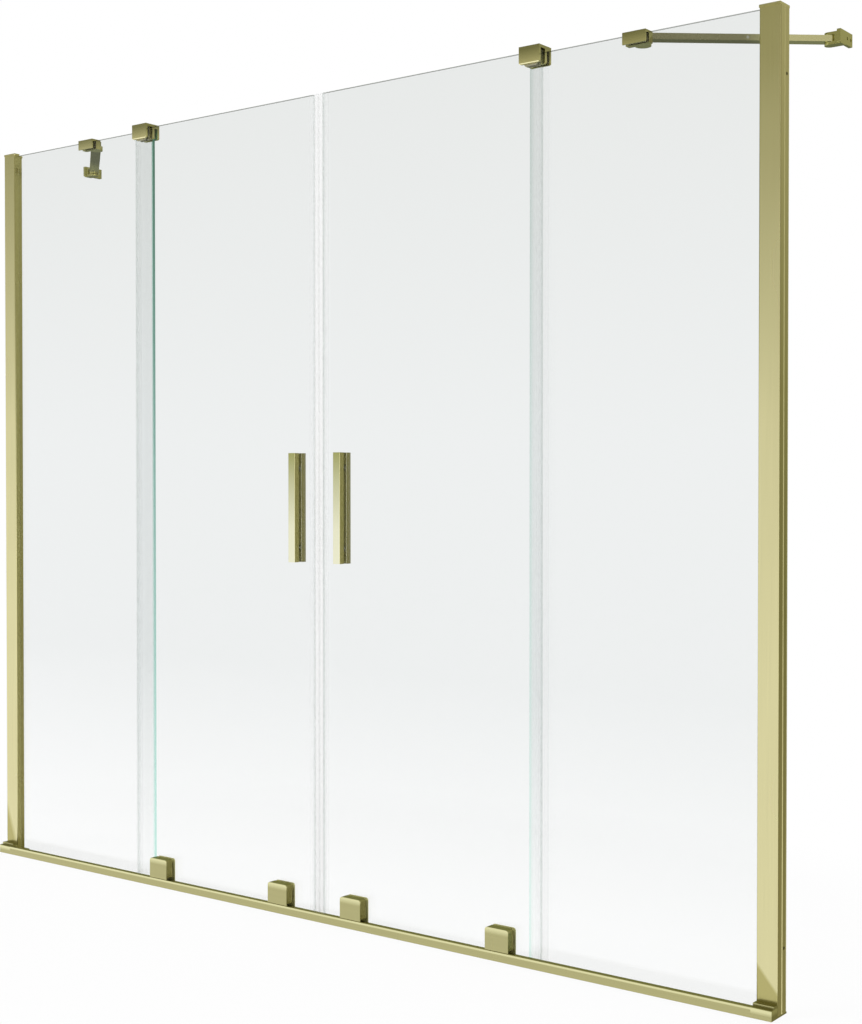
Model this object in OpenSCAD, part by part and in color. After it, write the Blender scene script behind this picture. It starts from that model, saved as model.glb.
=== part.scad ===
// Sliding bath screen: two glass doors roll on a low rail between two fixed panes.
// Sizes are in millimetres. The front faces -Y and +Z is up.
// The origin is on the underside of the rail, midway between the walls and midway through the depth
// of the rail's ends.

/* [Screen] */
// Width from wall to wall
screen_w = 1800; // [1760:10:1900]
// Height of the screen, which the panes' tops stay just below
screen_h = 1500; // [1300:10:1700]
// Clear width between the free edges of the fixed panes
entry_w = 900; // [880:5:940]

/* [Glass] */
// Thickness of every pane
glass_t = 6; // [5:0.5:8]
// Bevel along the vertical edges of every pane
glass_arris = 0.6; // [0.2:0.1:1.2]
// Width of a door's glass
door_w = 472; // [460:1:478]
// Gap between the two doors' glass where they meet
meeting_gap = 22; // [18:1:26]
// Depth of the doors' front face behind the front of the rail
door_y = 16; // [15.5:0.5:18]
// Distance from the doors' front face to the fixed panes' front face
pane_pitch = 16; // [15:0.5:18]
// Height of the doors' bottom edge
door_bottom = 9; // [7:0.5:12]
// How far every pane's top edge is below the height of the screen
pane_drop = 1; // [1:0.1:3]
// How far a fixed pane reaches into its wall profile
glass_bite = 19; // [17:1:22]

/* [Bottom rail] */
// Depth of the rail's ends
rail_d = 52; // [50.5:0.5:60]
// How far the rail's floor reaches behind its rear rib
rail_heel = 5; // [1:0.5:8]
// Thickness of the rail's floor
rail_base = 2.5; // [2:0.1:3]
// Depth of the hollow front lip
lip_d = 8; // [6:0.5:8.5]
// Height of the front lip and of the nose at either end
lip_h = 16.5; // [15:0.5:17]
// Wall thickness of the front lip
lip_wall = 1.6; // [1:0.1:2]
// Radius of the lip's upper front edge
lip_round = 1.5; // [0.5:0.1:3]
// Depth of the track bead behind the front of the rail
track_y = 12.5; // [12.2:0.1:12.6]
// Radius of the track bead
bead_r = 2; // [1.5:0.1:2.2]
// Height of the bead's top above the rail's underside
bead_top = 7.5; // [6.8:0.1:8]
// Thickness of the two ribs that hold a fixed pane's foot
rib_t = 1.4; // [1:0.1:2]
// Height of the rib in front of the fixed panes
front_rib_h = 6.5; // [5:0.1:8]
// Height of the rib behind the fixed panes
rear_rib_h = 3.4; // [3.2:0.1:6]
// Thickness of the setting strip under a fixed pane
bed_t = 1.5; // [1:0.1:2]

/* [Rail ends] */
// Height of the step behind the nose
tread_h = 20.5; // [19:0.5:24]
// Length of the peg that enters the lip
peg_l = 12; // [6:1:20]
// Length of the rubber stop at the end of a door's travel
stop_l = 10; // [6:1:20]
// Height of that stop's top
stop_top = 12; // [10:0.5:14]

/* [Wall profiles] */
// Width of a pane profile across its front
profile_w = 34; // [32:1:38]
// Depth of a pane profile
profile_d = 30; // [29:0.5:31]
// Depth of the pane profile's front behind the front of the rail
profile_y = 20; // [19:0.5:20.5]
// Wall thickness of the pane profile
profile_wall = 1.6; // [1.2:0.1:2]
// Radius of the pane profile's front edges
profile_round = 1.5; // [0.5:0.1:2]
// Width of the pane profile's rear part, measured from the wall
rear_w = 20; // [18:0.5:22]
// Thickness of the gasket around a fixed pane's edge
gasket_t = 1; // [0.6:0.1:1.5]
// Thickness of a profile cap
cap_t = 4; // [3.5:0.1:6]
// Height of the caps' top above the height of the screen
cap_rise = 2; // [1:0.5:3]
// How far a cap overhangs the profile
cap_lip = 1; // [0.2:0.1:2]
// Depth of the cap's plug
plug_h = 8; // [4:1:15]
// Web thickness of the wall channel
channel_web = 2; // [1.5:0.1:3]
// Arm length of the wall channel, web included
channel_arm = 16; // [12:1:18]
// Width of the centring groove in the wall channel's back
groove_w = 3; // [1:0.5:5]
// Depth of that groove
groove_d = 1; // [0.3:0.1:1.2]
// Depth of the wall screws behind the front of the rail
wall_hole_y = 42; // [40:0.5:44]
// Distance of the outer wall screws from the screen's top and bottom
wall_hole_end = 100; // [60:10:300]
// Radius of a wall screw hole
wall_hole_r = 2.6; // [2:0.1:3]
// Depth of the chamfer around a wall screw hole
wall_hole_chamfer = 1; // [0.4:0.1:1.2]
// Height of the cover plug in the profile's inner face
cover_h = 10.5; // [6:0.5:20]
// Width of that cover plug
cover_w = 7; // [4:0.5:7]
// Distance from the top of the screen to the middle of the cover plug
cover_drop = 34; // [25:1:80]
// Shank radius of the screws that join profile and channel
profile_screw_r = 1.95; // [1.5:0.05:2.5]
// Head radius of those screws
profile_screw_head_r = 4; // [3:0.1:5]
// Head height of those screws
profile_screw_head_h = 2; // [1:0.1:3]
// Number of those screws in each profile
profile_screw_count = 3; // [2:1:5]
// Distance of the outer ones from the screen's top and bottom
profile_screw_end = 150; // [130:10:400]
// How far they reach in from the channel's rear face
profile_screw_grip = 3.5; // [2.5:0.5:6]

/* [Doors] */
// Thickness of the seals' clip legs
seal_t = 1; // [0.8:0.1:1.2]
// Length of the seals' clip legs on the glass
seal_leg = 9; // [6:0.5:12]
// Free space between the two closed doors' seals
closing_gap = 0.6; // [0.6:0.1:1.5]
// How far the fin seal reaches past the door's glass
fin_reach = 6; // [4:0.5:7]
// Thickness of the fin
fin_t = 0.8; // [0.6:0.1:1]
// Free space between the fin's tip and the fixed pane
fin_gap = 0.5; // [0.4:0.1:1]
// Distance from the top guide's insert down to the fin seal's top
fin_drop = 4; // [1:0.5:10]
// Free space left between a fully open door and the wall profile
open_gap = 5; // [3:0.5:10]

/* [Handles] */
// Length of a handle bar
handle_l = 200; // [180:5:400]
// Width of a handle bar
handle_w = 16; // [12:1:20]
// Thickness of a handle bar
handle_t = 12; // [10:0.5:12]
// Radius of a handle bar's long edges
handle_round = 1; // [0.4:0.1:2]
// Height of the handle's middle
handle_z = 750; // [600:10:900]
// Distance from the door's inner glass edge to the handle's middle
handle_inset = 43; // [40:1:46]
// Distance between a handle's two fixings
handle_pitch = 146; // [100:2:160]
// Radius of the handle studs
stud_r = 3; // [2:0.1:4]
// Depth of a stud in a handle bar
stud_bite = 8; // [5:0.5:8]
// Radius of the stud holes in the glass
stud_hole_r = 4.5; // [4.2:0.1:5]
// Thickness of the washers between handle and glass
washer_t = 0.5; // [0.3:0.1:1]
// Radius of those washers
washer_r = 6; // [5.5:0.1:7]

/* [Carriages and rollers] */
// Width of a carriage
carriage_w = 47; // [42:1:56]
// Height of a carriage's top
carriage_top = 55; // [54:1:62]
// Radius of a carriage's top corners
carriage_round = 5; // [2:0.5:8]
// Distance from a door glass edge to the middle of the nearer carriage
carriage_inset = 77; // [74:1:90]
// Free space between a carriage and the top of the lip
lip_gap = 0.4; // [0.4:0.1:0.8]
// Thickness of a carriage's front where its side walls are cut back above the lip
skin_t = 1.5; // [1:0.1:3]
// Height of the notches under the side walls
notch_h = 3.5; // [1:0.5:5]
// Height of the roller axles
axle_z = 21.5; // [21:0.1:22]
// Radius of the roller axles
axle_r = 2.5; // [2:0.1:2.7]
// Distance of an axle's front end behind the front of the rail
axle_front = 1; // [0.5:0.1:4]
// Outer radius of a roller
roller_r = 15.5; // [15:0.1:15.9]
// Width of a roller
roller_w = 5.6; // [5.4:0.1:5.8]
// Free space between a roller's groove and the bead
roller_gap = 0.3; // [0.3:0.05:0.5]
// Free space around a roller in its pocket
pocket_gap = 1.5; // [0.8:0.1:2]
// Distance between a carriage's two glass screws
carriage_screw_pitch = 20; // [16:1:22]
// Height of those screws
carriage_screw_z = 46; // [44:0.5:47.5]
// Radius of those screws
carriage_screw_r = 2.5; // [2:0.1:3]
// How far those screws reach in front of the glass
carriage_screw_bite = 8; // [5:0.5:12]
// Radius of their holes in the glass
carriage_hole_r = 4; // [3.4:0.1:4.5]
// Thickness of the clamp plate behind the glass
plate_t = 1.6; // [1.2:0.1:3]

/* [Top guides] */
// Width of a guide block
guide_w = 40; // [34:1:50]
// How far a guide block stands past the fixed pane's free edge
guide_lead = 6; // [4:1:10]
// Height of a guide block's lower edge below the top of the screen
guide_drop = 22; // [18:1:30]
// Height of a guide block's top above the top of the screen
guide_rise = 7; // [6:0.5:10]
// Thickness of a guide block's top
guide_top_t = 5; // [3:0.5:6]
// Depth of a guide block's front behind the front of the rail
guide_y = 8; // [6:0.5:9]
// Depth of a guide block
guide_d = 36; // [35:0.5:42]
// Width of the channel that the door runs in
guide_channel = 13; // [12.5:0.1:13.5]
// Radius of a guide block's lower corners
guide_round = 4; // [1:0.5:6]
// Free space between the door's glass and the plastic insert
insert_gap = 0.4; // [0.3:0.05:0.6]
// How far the insert hangs below the guide block
insert_drop = 3; // [2:0.5:8]
// Width of the insert
insert_w = 24; // [20:1:34]
// Radius of the insert's lower corners
insert_round = 3; // [1:0.5:6]
// Thickness of the insert's web over the door
insert_web = 2; // [1:0.1:2.2]

/* [Support bars] */
// Width of a glass clamp
clamp_w = 42; // [40:1:50]
// Distance from the wall to the middle of a glass clamp
clamp_inset = 252; // [200:2:300]
// Thickness of the clamp's front plate
clamp_front_t = 3; // [2:0.1:4]
// Height of the clamp's lower edge below the top of the screen
clamp_drop = 15.5; // [14:0.5:20]
// Height of the clamp's top above the top of the screen
clamp_rise = 3.5; // [2:0.1:6]
// Thickness of the clamp behind the glass
clamp_rear_t = 11.5; // [9:0.5:14]
// Radius of the clamp's round lug
lug_r = 13; // [11:0.5:14]
// Distance of that lug's axis behind the front of the rail
lug_y = 57.7; // [55:0.1:60]
// Thickness of that lug
lug_t = 9; // [8.5:0.5:12]
// Width of a support bar
bar_w = 20; // [16:1:22]
// Thickness of a support bar
bar_t = 10; // [9:0.5:10.5]
// Height of the bars' middle below the top of the screen
bar_drop = 0.5; // [0.5:0.5:2]
// Shank radius of the pivot screws
pivot_r = 3; // [2.5:0.1:4]
// Head radius of the pivot screws
pivot_head_r = 5.5; // [4.5:0.1:6]
// Height of their countersunk heads
pivot_head_h = 2.5; // [1.5:0.1:3]
// Length of a pivot screw
pivot_l = 18; // [16:0.5:18.5]
// Share of a bar's length where its lock screw sits
lock_share = 0.55; // [0.3:0.05:0.7]
// Radius of the lock screw
lock_r = 2.5; // [1.5:0.1:3]
// Length of the lock screw
lock_l = 6; // [4:0.5:7]
// Distance from the wall to the bracket's pivot
fork_x = 22; // [20:1:30]
// Distance of that pivot behind the front of the rail
fork_y = 250; // [200:5:300]
// Radius of the bracket's fork
fork_r = 9; // [8:0.5:11]
// Height of the fork
fork_h = 20; // [19:0.5:22]
// Thickness of the bracket's wall plate
bracket_t = 6; // [4:0.5:8]
// Width of the wall plate
bracket_w = 48; // [44:1:60]
// Height of the wall plate
bracket_h = 21; // [18:1:30]
// Height of the wall plate's middle above the bars' middle
bracket_rise = 2; // [0:0.5:4]
// Distance from the wall plate's front edge to the pivot
bracket_lead = 12; // [10.5:0.5:14]
// Distance between the wall plate's two screws
bracket_hole_pitch = 14; // [12:1:16]
// Distance from the wall plate's rear edge to the nearer screw
bracket_hole_edge = 6; // [5:0.5:8]
// Radius of the wall plate's corners
bracket_round = 1; // [0.5:0.5:4]
// Radius of the wall plate's screw holes
bracket_hole_r = 2.6; // [2:0.1:3]
// Radius of the small grub screws in the guide blocks and clamps
grub_r = 2.5; // [1.5:0.1:3]
// Distance from the top of the screen down to the guide blocks' grub screws
guide_grub_drop = 11; // [7:0.5:16]
// Distance from the top of the screen down to the clamps' grub screws
clamp_grub_drop = 8; // [5:0.5:10]
// Distance from a clamp's side to its grub screws
clamp_grub_inset = 6; // [5:0.5:10]

/* [Fit] */
// Radial clearance of a shank or pin in its hole
fit = 0.05; // [0.02:0.01:0.1]
// Side clearance of parts that slip into each other
slip = 0.4; // [0.2:0.05:0.5]

/* [Hidden] */
$fn = 48;

BRASS = [0.66, 0.63, 0.38];
BRASS_DARK = [0.45, 0.43, 0.22];
STEEL = [0.7, 0.7, 0.68];
GLASS = [0.86, 0.94, 0.92, 0.45];
CLEAR = [0.8, 0.84, 0.83, 0.8];
NYLON = [0.55, 0.55, 0.5];
RUBBER = [0.2, 0.2, 0.2];
MAGNET = [0.95, 0.95, 0.93];

LEFT = -1;
RIGHT = 1;
SIDES = [LEFT, RIGHT];
// A cut runs past the face it opens by this much
past = 1;

// Planes across the width, on the right-hand side
wall_x = screen_w / 2;
profile_x = wall_x - profile_w;
pane_outer_x = profile_x + glass_bite;
pane_inner_x = entry_w / 2;
door_inner_x = meeting_gap / 2;
door_outer_x = door_inner_x + door_w;
fin_x = door_outer_x + fin_reach;
handle_x = door_inner_x + handle_inset;
carriage_inner_x = door_inner_x + carriage_inset;
carriage_outer_x = door_outer_x - carriage_inset;
guide_x = pane_inner_x - guide_lead + guide_w / 2;
door_travel = profile_x - open_gap - fin_x;

// Planes through the depth, from the front of the rail
door_back = door_y + glass_t;
fixed_y = door_y + pane_pitch;
fixed_back = fixed_y + glass_t;
slot_front = fixed_y - gasket_t;
slot_back = fixed_back + gasket_t;
channel_y = profile_y + profile_wall + slip;
channel_d = profile_d - 2 * (profile_wall + slip);
clamp_x = wall_x - clamp_inset;
clamp_y = slot_front - clamp_front_t;
clamp_back = slot_back + clamp_rear_t;
axle_back = track_y + roller_w / 2 + fit;
rib_back = slot_back + rib_t;
screw_front = door_y - carriage_screw_bite;

// Heights
pane_top = screen_h - pane_drop;
cap_top = screen_h + cap_rise;
profile_top = cap_top - cap_t;
fixed_bottom = rail_base + bed_t;
bead_z = bead_top - bead_r;
body_bottom = lip_h + lip_gap;
bar_z = screen_h - bar_drop;
guide_bottom = screen_h - guide_drop;
insert_bottom = guide_bottom - insert_drop;
fin_top = insert_bottom - fin_drop;
cover_z = screen_h - cover_drop;

// Shapes shared by several pieces
module at_origin() {
    translate([0, -rail_d / 2, 0]) children();
}

module on_side(side) {
    at_origin() mirror([side == LEFT ? 1 : 0, 0, 0]) children();
}

// Extrudes a section drawn in depth and height from x0 to x1
module along_x(x0, x1) {
    translate([x0, 0, 0]) rotate([90, 0, 90]) linear_extrude(x1 - x0) children();
}

// Extrudes an outline drawn in width and height from y0 to y1
module along_y(y0, y1) {
    translate([0, y1, 0]) rotate([90, 0, 0]) linear_extrude(y1 - y0) children();
}

// Extrudes a plan from z0 to z1
module along_z(z0, z1) {
    translate([0, 0, z0]) linear_extrude(z1 - z0) children();
}

module rod_y(x, z, y0, y1, r) {
    translate([x, y0, z]) rotate([-90, 0, 0]) cylinder(r = r, h = y1 - y0);
}

module rod_x(y, z, x0, x1, r) {
    translate([x0, y, z]) rotate([0, 90, 0]) cylinder(r = r, h = x1 - x0);
}

// A rectangle from [x0, y0] to [x1, y1]
module area(x0, y0, x1, y1) {
    translate([x0, y0]) square([x1 - x0, y1 - y0]);
}

// A rectangle whose two lower corners are round
module area_round_low(x0, y0, x1, y1, r) {
    area(x0, y0 + r, x1, y1);
    area(x0 + r, y0, x1 - r, y1);
    for (x = [x0 + r, x1 - r]) translate([x, y0 + r]) circle(r = r);
}

module area_round_all(x0, y0, x1, y1, r) {
    area(x0, y0 + r, x1, y1 - r);
    area(x0 + r, y0, x1 - r, y1);
    for (x = [x0 + r, x1 - r], y = [y0 + r, y1 - r]) translate([x, y]) circle(r = r);
}

// Plan of a pane with bevelled corners
module pane_plan(x0, x1, y0) {
    y1 = y0 + glass_t;
    a = glass_arris;
    polygon([
        [x0 + a, y0], [x1 - a, y0], [x1, y0 + a], [x1, y1 - a],
        [x1 - a, y1], [x0 + a, y1], [x0, y1 - a], [x0, y0 + a]
    ]);
}

// Wall profiles
module profile_outline(grow) {
    area_round_low(profile_x - grow, profile_y - grow, wall_x, slot_front + grow, profile_round);
    area_round_low(wall_x - rear_w - grow, profile_y - grow, wall_x, profile_y + profile_d + grow,
        profile_round);
    area(wall_x - profile_round, profile_y - grow, wall_x, profile_y + profile_d);
}

module profile_section() {
    slot_floor = pane_outer_x + gasket_t;
    pocket_y = profile_y + profile_wall;
    rear_y = profile_y + profile_d - profile_wall;
    difference() {
        profile_outline(0);
        area(profile_x + profile_wall, pocket_y, wall_x + past, slot_front - profile_wall);
        area(profile_x - past, slot_front, slot_floor, slot_back);
        area(slot_floor + profile_wall, pocket_y, wall_x + past, rear_y);
        area(wall_x - rear_w + profile_wall, slot_back + profile_wall, wall_x + past, rear_y);
    }
}

function profile_screw_z(i) =
    profile_screw_end + i * (screen_h - 2 * profile_screw_end) / (profile_screw_count - 1);

profile_screw_x = wall_x - channel_arm / 2;
profile_screw_tip = channel_y + channel_d - profile_screw_grip;

module profile_screw_holes() {
    for (i = [0 : profile_screw_count - 1])
        rod_y(profile_screw_x, profile_screw_z(i), profile_screw_tip, profile_y + profile_d + past,
            profile_screw_r + fit);
}

module wall_channel(side) {
    far_y = channel_y + channel_d;
    color(BRASS_DARK) on_side(side) difference() {
        along_z(rail_base, profile_top) difference() {
            area(wall_x - channel_arm, channel_y, wall_x, far_y);
            area(wall_x - channel_arm - past, channel_y + profile_wall,
                wall_x - channel_web, far_y - profile_wall);
            polygon([
                [wall_x + past, channel_y + channel_d / 2 - groove_w],
                [wall_x - groove_d, channel_y + channel_d / 2],
                [wall_x + past, channel_y + channel_d / 2 + groove_w]
            ]);
        }
        for (z = [wall_hole_end, screen_h - wall_hole_end]) {
            rod_x(wall_hole_y, z, wall_x - channel_web - past, wall_x + past, wall_hole_r);
            translate([wall_x - channel_web - wall_hole_chamfer, wall_hole_y, z]) rotate([0, 90, 0])
                cylinder(r1 = wall_hole_r + 2 * wall_hole_chamfer, r2 = wall_hole_r,
                    h = 2 * wall_hole_chamfer);
        }
        profile_screw_holes();
    }
}

module pane_profile(side) {
    color(BRASS) on_side(side) difference() {
        along_z(rail_base, profile_top) profile_section();
        cover_window(0);
        profile_screw_holes();
    }
}

// The opening in the profile's inner face, less a clearance all round
module cover_window(clearance) {
    cover_y = (profile_y + slot_front) / 2;
    translate([profile_x - past, cover_y - cover_w / 2 + clearance, cover_z - cover_h / 2 + clearance])
        cube([profile_wall + 2 * past, cover_w - 2 * clearance, cover_h - 2 * clearance]);
}

module profile_covers() {
    sink = 0.4;
    color(BRASS_DARK) for (side = SIDES) on_side(side) intersection() {
        cover_window(fit);
        translate([profile_x + sink, profile_y, cover_z - cover_h])
            cube([profile_wall, profile_d, 2 * cover_h]);
    }
}

module profile_cap(side) {
    slot_floor = pane_outer_x + gasket_t;
    color(BRASS) on_side(side) {
        difference() {
            along_z(profile_top, cap_top) profile_outline(cap_lip);
            along_z(profile_top - past, max(pane_top + slip / 2, profile_top))
                area(profile_x - 2 * cap_lip - past, slot_front, slot_floor, slot_back);
        }
        along_z(profile_top - plug_h, profile_top)
            area(profile_x + profile_wall + slip, profile_y + profile_wall + slip,
                wall_x - channel_arm - slip, slot_front - profile_wall - slip);
    }
}

module pane_gasket(side) {
    slot_floor = pane_outer_x + gasket_t;
    color(CLEAR) on_side(side) along_z(fixed_bottom, profile_top) difference() {
        union() {
            area(profile_x, slot_front, slot_floor, fixed_y);
            area(wall_x - rear_w, slot_front, slot_floor, slot_back);
        }
        area(profile_x - past, fixed_y, pane_outer_x, fixed_back);
    }
}

module profile_screws() {
    face_y = profile_y + profile_d;
    color(STEEL) for (side = SIDES) on_side(side) for (i = [0 : profile_screw_count - 1]) {
        rod_y(profile_screw_x, profile_screw_z(i), profile_screw_tip, face_y + profile_screw_head_h / 2,
            profile_screw_r);
        rod_y(profile_screw_x, profile_screw_z(i), face_y, face_y + profile_screw_head_h,
            profile_screw_head_r);
    }
}

// Bottom rail
module bottom_rail() {
    color(BRASS) at_origin() along_x(-profile_x, profile_x) {
        area(0, 0, rib_back + rail_heel, rail_base);
        difference() {
            lip_section();
            area(lip_wall, rail_base, lip_d - lip_wall, lip_h - lip_wall);
        }
        area(track_y - bead_r, 0, track_y + bead_r, bead_z);
        translate([track_y, bead_z]) circle(r = bead_r);
        area(slot_front - rib_t, 0, slot_front, front_rib_h);
        area(slot_back, 0, rib_back, rear_rib_h);
    }
}

// The lip's block with its round upper front edge
module lip_section() {
    area(0, 0, lip_d, lip_h - lip_round);
    area(lip_round, 0, lip_d, lip_h);
    translate([lip_round, lip_h - lip_round]) circle(r = lip_round);
}

module rail_end(side) {
    peg_gap = 0.3;
    color(BRASS) on_side(side) {
        along_x(profile_x, wall_x) {
            area(0, 0, rail_d, rail_base);
            lip_section();
            area(lip_d, 0, profile_y, tread_h);
        }
        along_x(profile_x - peg_l, profile_x)
            area(lip_wall + peg_gap, rail_base + peg_gap, lip_d - lip_wall - peg_gap,
                lip_h - lip_wall - peg_gap);
    }
}

module pane_beds() {
    upstand_h = 2.2;
    color(CLEAR) for (side = SIDES) on_side(side) {
        along_x(pane_inner_x, pane_outer_x) area(slot_front, rail_base, slot_back, fixed_bottom);
        along_x(pane_inner_x, profile_x - slip)
            area(slot_front, rail_base, fixed_y, fixed_bottom + upstand_h);
    }
}

// Half the roller's width at a height above or below its axle, with a slip clearance
function stop_reach(drop) = sqrt(roller_r * roller_r - drop * drop) + slip;

stop_x = carriage_outer_x + door_travel + stop_reach(axle_z - stop_top);

// A rubber block between lip and bead, which the outer roller meets when the door is open
module door_stops() {
    stop_back = door_y - seal_t - slip;
    color(RUBBER) for (side = SIDES) on_side(side) along_x(stop_x, stop_x + stop_l) difference() {
        area(lip_d + slip, rail_base, stop_back, stop_top);
        area(track_y - bead_r, 0, track_y, bead_z);
        area(track_y, 0, stop_back + past, bead_top);
        translate([track_y, bead_z]) circle(r = bead_r);
    }
}

// Fixed panes
module fixed_pane(side) {
    color(GLASS) on_side(side) along_z(fixed_bottom, pane_top) pane_plan(pane_inner_x, pane_outer_x, fixed_y);
}

// Top guides
module guide_block(side) {
    x0 = guide_x - guide_w / 2;
    x1 = guide_x + guide_w / 2;
    top = screen_h + guide_rise;
    door_mid = door_y + glass_t / 2;
    color(BRASS) on_side(side) difference() {
        intersection() {
            along_x(x0, x1) difference() {
                area_round_low(guide_y, guide_bottom, guide_y + guide_d, top, guide_round / 2);
                area(door_mid - guide_channel / 2, guide_bottom - past,
                    door_mid + guide_channel / 2, top - guide_top_t);
                area(slot_front, guide_bottom - past, slot_back, pane_top);
            }
            along_y(guide_y, guide_y + guide_d) area_round_low(x0, guide_bottom, x1, top, guide_round);
        }
        rod_y(guide_x, guide_grub_z, slot_back - past, guide_y + guide_d + past, grub_r + fit);
    }
}

guide_grub_z = screen_h - guide_grub_drop;

module guide_insert(side) {
    door_mid = door_y + glass_t / 2;
    outer = guide_channel / 2;
    inner = glass_t / 2 + insert_gap;
    lead = 1.2;
    x0 = guide_x - insert_w / 2;
    top = screen_h + guide_rise - guide_top_t;
    color(NYLON) on_side(side) intersection() {
        along_x(x0, x0 + insert_w) translate([door_mid, 0]) polygon([
            [-outer, top], [-outer, insert_bottom + lead], [-outer + lead, insert_bottom],
            [-inner - lead, insert_bottom], [-inner, insert_bottom + lead], [-inner, top - insert_web],
            [inner, top - insert_web], [inner, insert_bottom + lead], [inner + lead, insert_bottom],
            [outer - lead, insert_bottom], [outer, insert_bottom + lead], [outer, top]
        ]);
        along_y(door_mid - outer, door_mid + outer)
            area_round_low(x0, insert_bottom, x0 + insert_w, top, insert_round);
    }
}

// Support bars
clamp_bottom = screen_h - clamp_drop;
clamp_grub_x = clamp_w / 2 - clamp_grub_inset;
clamp_grub_z = screen_h - clamp_grub_drop;
fork_px = wall_x - fork_x;
bar_run = [fork_px - clamp_x, fork_y - lug_y];
bar_l = norm(bar_run);
bar_angle = atan2(bar_run[1], bar_run[0]);

// Puts its children in the bar's own frame: origin on the lug's axis, +X along the bar
module in_bar_frame() {
    translate([clamp_x, lug_y, bar_z]) rotate([0, 0, bar_angle]) children();
}

module bar_plan(grow) {
    half = bar_w / 2 + grow;
    area(0, -half, bar_l, half);
    for (x = [0, bar_l]) translate([x, 0]) circle(r = half);
}

// A countersunk screw, its head's face at top
module pivot_screw(x, top, clearance) {
    translate([x, 0, top - pivot_l]) cylinder(r = pivot_r + clearance, h = pivot_l);
    translate([x, 0, top - pivot_head_h])
        cylinder(r1 = pivot_r + clearance, r2 = pivot_head_r + clearance, h = pivot_head_h);
}

module pivot_screw_pair(clearance) {
    pivot_screw(0, bar_t / 2, clearance);
    pivot_screw(bar_l, fork_h / 2, clearance);
}

module glass_clamp(side) {
    color(BRASS) on_side(side) difference() {
        union() {
            along_x(clamp_x - clamp_w / 2, clamp_x + clamp_w / 2) difference() {
                area(clamp_y, clamp_bottom, clamp_back, screen_h + clamp_rise);
                area(slot_front, clamp_bottom - past, slot_back, pane_top);
            }
            translate([clamp_x, lug_y, bar_z - bar_t / 2 - lug_t]) cylinder(r = lug_r, h = lug_t);
        }
        // The bar's end rests on the lug and is clear of the clamp
        in_bar_frame() along_z(-bar_t / 2, bar_t) bar_plan(slip);
        in_bar_frame() pivot_screw(0, bar_t / 2, fit);
        for (dx = [-clamp_grub_x, clamp_grub_x])
            rod_y(clamp_x + dx, clamp_grub_z, slot_back - past, clamp_back + past, grub_r + fit);
    }
}

module glass_pads() {
    pad_inset = 2;
    pad_w = clamp_w - 2 * pad_inset;
    guide_pad_x0 = pane_inner_x + pad_inset;
    guide_pad_x1 = guide_x + guide_w / 2 - pad_inset;
    color(RUBBER) for (side = SIDES) on_side(side) for (y = [slot_front, fixed_back]) {
        along_y(y, y + gasket_t) {
            area(clamp_x - pad_w / 2, clamp_bottom + pad_inset, clamp_x + pad_w / 2, pane_top);
            area(guide_pad_x0, guide_bottom + guide_round, guide_pad_x1, pane_top);
        }
    }
}

module grub_screws() {
    color(STEEL) for (side = SIDES) on_side(side) {
        rod_y(guide_x, guide_grub_z, slot_back, guide_y + guide_d, grub_r);
        for (dx = [-clamp_grub_x, clamp_grub_x])
            rod_y(clamp_x + dx, clamp_grub_z, slot_back, clamp_back, grub_r);
    }
}

module support_bar(side) {
    color(BRASS) on_side(side) in_bar_frame() difference() {
        along_z(-bar_t / 2, bar_t / 2) bar_plan(0);
        pivot_screw_pair(fit);
        translate([bar_l * lock_share, -bar_w / 2 - past, 0]) rotate([-90, 0, 0])
            cylinder(r = lock_r + fit, h = lock_l + past);
    }
}

module bar_lock_screws() {
    color(STEEL) for (side = SIDES) on_side(side) in_bar_frame()
        translate([bar_l * lock_share, -bar_w / 2, 0]) rotate([-90, 0, 0]) cylinder(r = lock_r, h = lock_l);
}

module bar_pivot_screws() {
    color(STEEL) for (side = SIDES) on_side(side) in_bar_frame() pivot_screw_pair(0);
}

// The bar's end turns in the slot of the fork
module wall_bracket(side) {
    plate_y = fork_y - bracket_lead;
    plate_z = bar_z + bracket_rise;
    hole_y = plate_y + bracket_w - bracket_hole_edge - bracket_hole_pitch / 2;
    slot_half = bar_t / 2 + slip;
    color(BRASS) on_side(side) difference() {
        union() {
            along_x(wall_x - bracket_t, wall_x)
                area_round_all(plate_y, plate_z - bracket_h / 2, plate_y + bracket_w,
                    plate_z + bracket_h / 2, bracket_round);
            along_z(bar_z - fork_h / 2, bar_z + fork_h / 2) {
                translate([fork_px, fork_y]) circle(r = fork_r);
                area(fork_px, fork_y - fork_r, wall_x, fork_y + fork_r);
            }
        }
        along_z(bar_z - slot_half, bar_z + slot_half)
            area(fork_px - fork_r - past, fork_y - fork_r - past,
                fork_px + bar_w / 2 + slip, fork_y + fork_r + past);
        in_bar_frame() pivot_screw(bar_l, fork_h / 2, fit);
        for (dy = [-bracket_hole_pitch / 2, bracket_hole_pitch / 2])
            rod_x(hole_y + dy, plate_z, wall_x - bracket_t - past, wall_x + past, bracket_hole_r);
    }
}

// Doors
module carriage_screw_places() {
    for (cx = [carriage_inner_x, carriage_outer_x], dx = [-1, 1])
        translate([cx + dx * carriage_screw_pitch / 2, 0, carriage_screw_z]) children();
}

module handle_stud_places() {
    for (dz = [-1, 1]) translate([handle_x, 0, handle_z + dz * handle_pitch / 2]) children();
}

module door_pane(side) {
    color(GLASS) on_side(side) difference() {
        along_z(door_bottom, pane_top) pane_plan(door_inner_x, door_outer_x, door_y);
        handle_stud_places() rod_y(0, 0, door_y - past, door_back + past, stud_hole_r);
        carriage_screw_places() rod_y(0, 0, door_y - past, door_back + past, carriage_hole_r);
    }
}

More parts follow.
